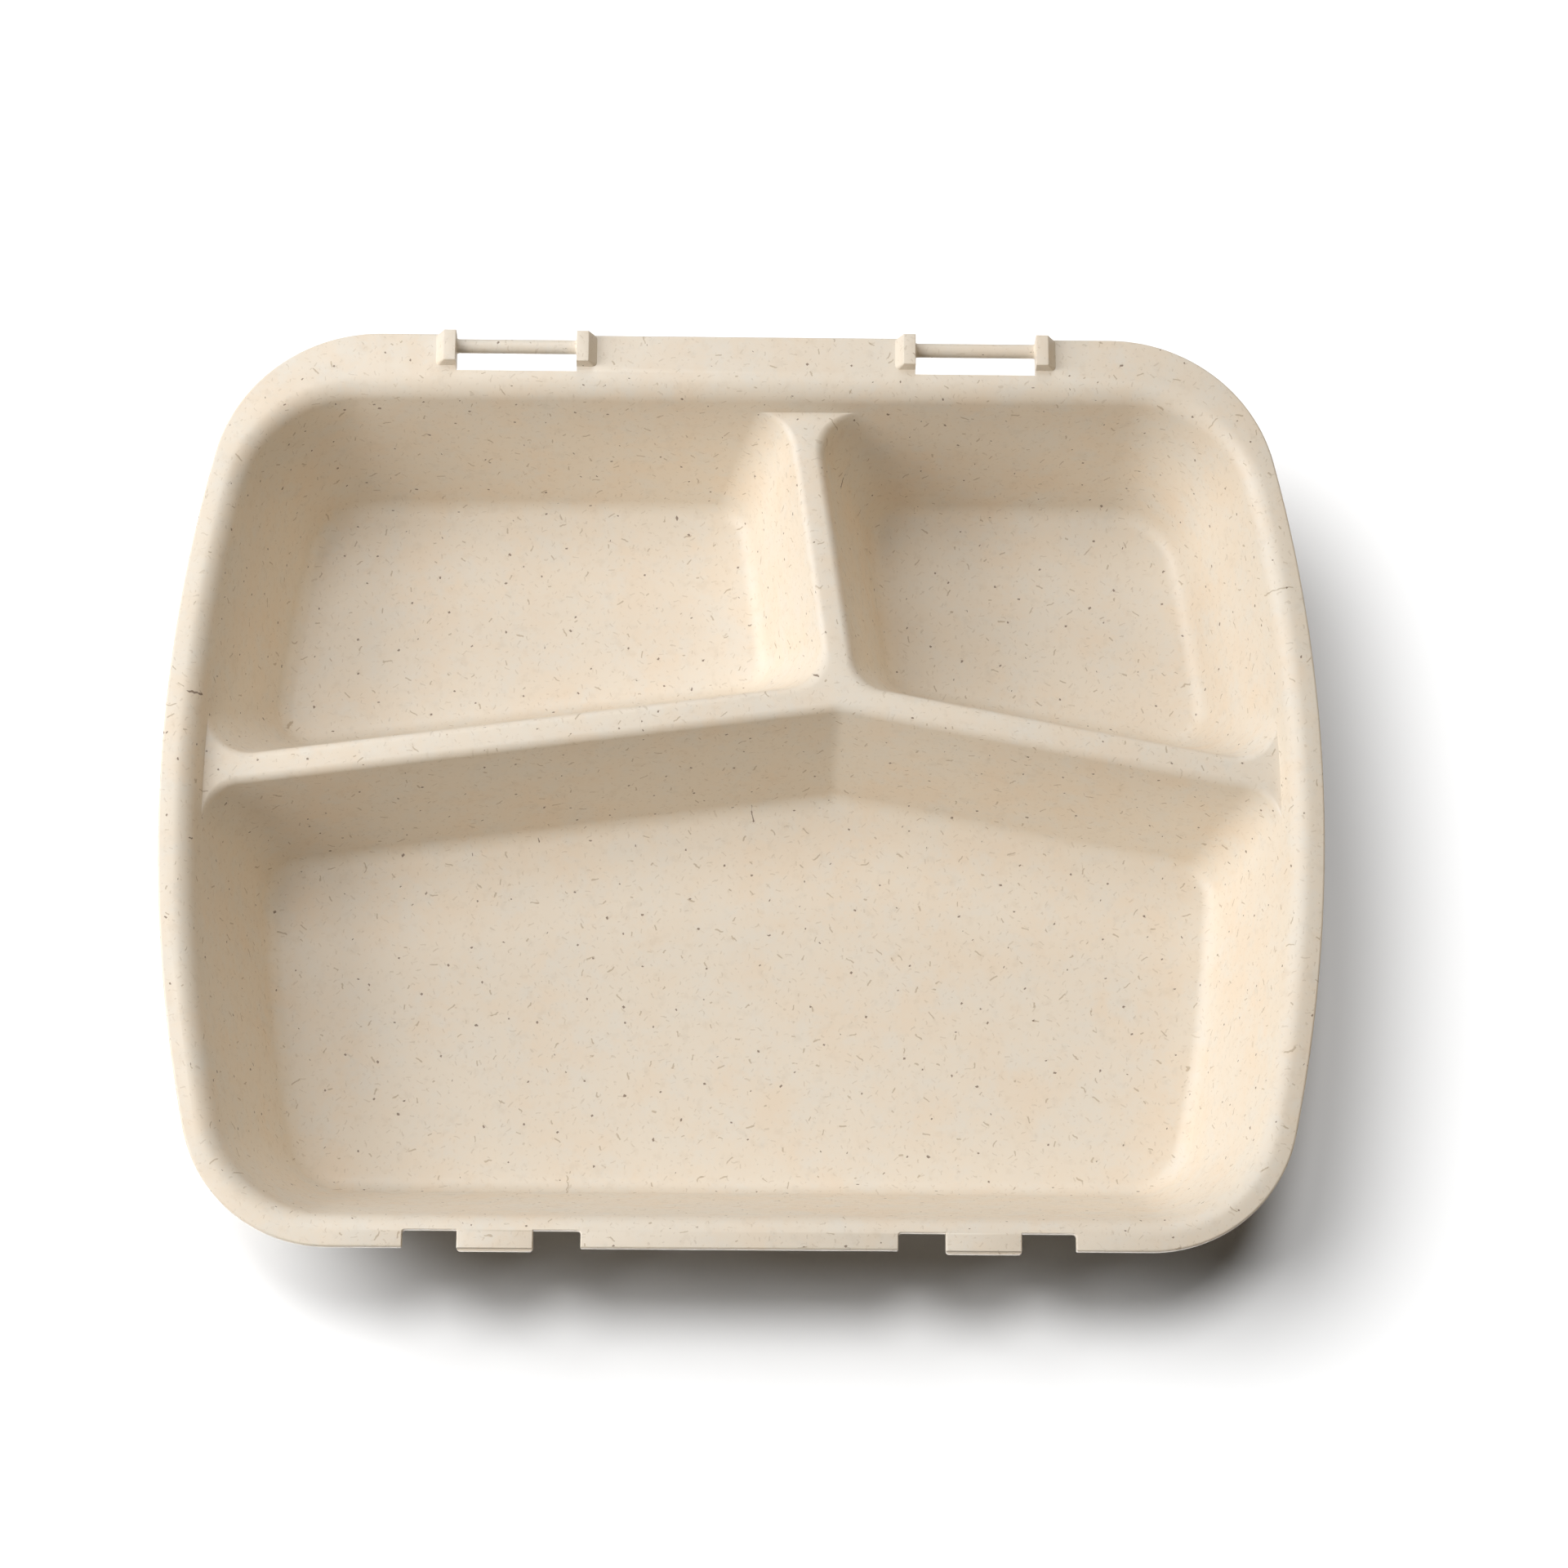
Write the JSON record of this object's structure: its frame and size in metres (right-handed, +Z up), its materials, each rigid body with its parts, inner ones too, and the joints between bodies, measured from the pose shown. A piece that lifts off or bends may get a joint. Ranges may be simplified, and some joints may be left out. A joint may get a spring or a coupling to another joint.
{
  "type": "reusable meal container tray",
  "caption": "Shallow moulded food tray with drafted pockets divided by low ribs, a rolled rim, hinge pins at the back and catch tabs in front.",
  "frame": {"origin": "on the table, under the middle of the tray's box", "axes": "+X to the right along the hinge side, +Y to the hinge side, +Z up"},
  "size_m": [0.24, 0.196, 0.0435],
  "materials": {
    "tray": "satin, cream, with fine plant-fibre specks and faint mottling"
  },
  "bodies": {
    "root": {"tray": "tray"}
  },
  "joints": []
}
